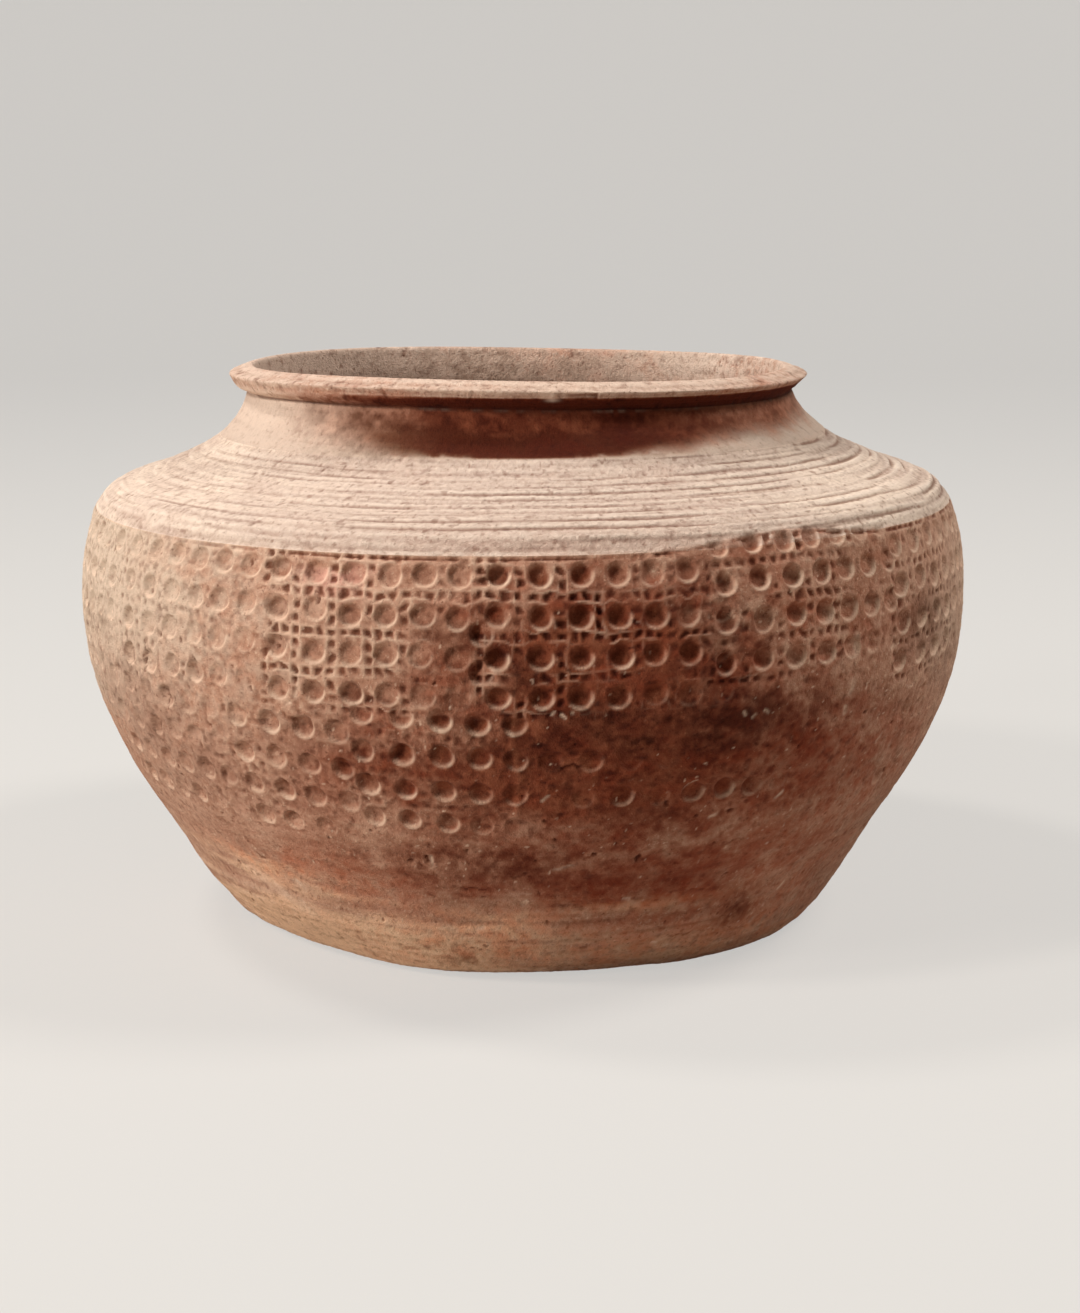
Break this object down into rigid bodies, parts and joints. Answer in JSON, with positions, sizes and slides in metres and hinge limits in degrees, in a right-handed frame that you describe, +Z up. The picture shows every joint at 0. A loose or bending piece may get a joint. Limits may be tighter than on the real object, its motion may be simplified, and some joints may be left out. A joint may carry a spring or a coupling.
{
  "type": "pottery jar",
  "caption": "Squat round-bellied earthenware storage jar with a wide turned-out rim, a turned shoulder and a belly stamped with a net of circles.",
  "frame": {"origin": "centre of the flat underside that the jar rests on", "axes": "+Z up through the mouth, -Y towards the front that the picture shows, +X to the right seen from the front"},
  "size_m": [0.3002, 0.3002, 0.1851],
  "materials": {
    "base_clay": "unglazed fired earthenware, scraped and worn, with pale deposits",
    "belly_clay": "unglazed fired earthenware, stamped, tan to dark reddish brown",
    "shoulder_clay": "unglazed fired earthenware, turned, with a pale dusty buff surface",
    "neck_clay": "unglazed fired earthenware, smoothed, reddish and smoke-darkened",
    "rim_clay": "unglazed fired earthenware, turned, pale dusty buff with small chips"
  },
  "bodies": {
    "root": {"base_disc": "base_clay", "belly_coil_1": "belly_clay", "belly_coil_2": "belly_clay", "belly_coil_3": "belly_clay", "belly_coil_4": "belly_clay", "belly_coil_5": "belly_clay", "belly_coil_6": "belly_clay", "shoulder_coil_1": "shoulder_clay", "shoulder_coil_2": "shoulder_clay", "neck_collar": "neck_clay", "rim_flange": "rim_clay"}
  },
  "joints": []
}
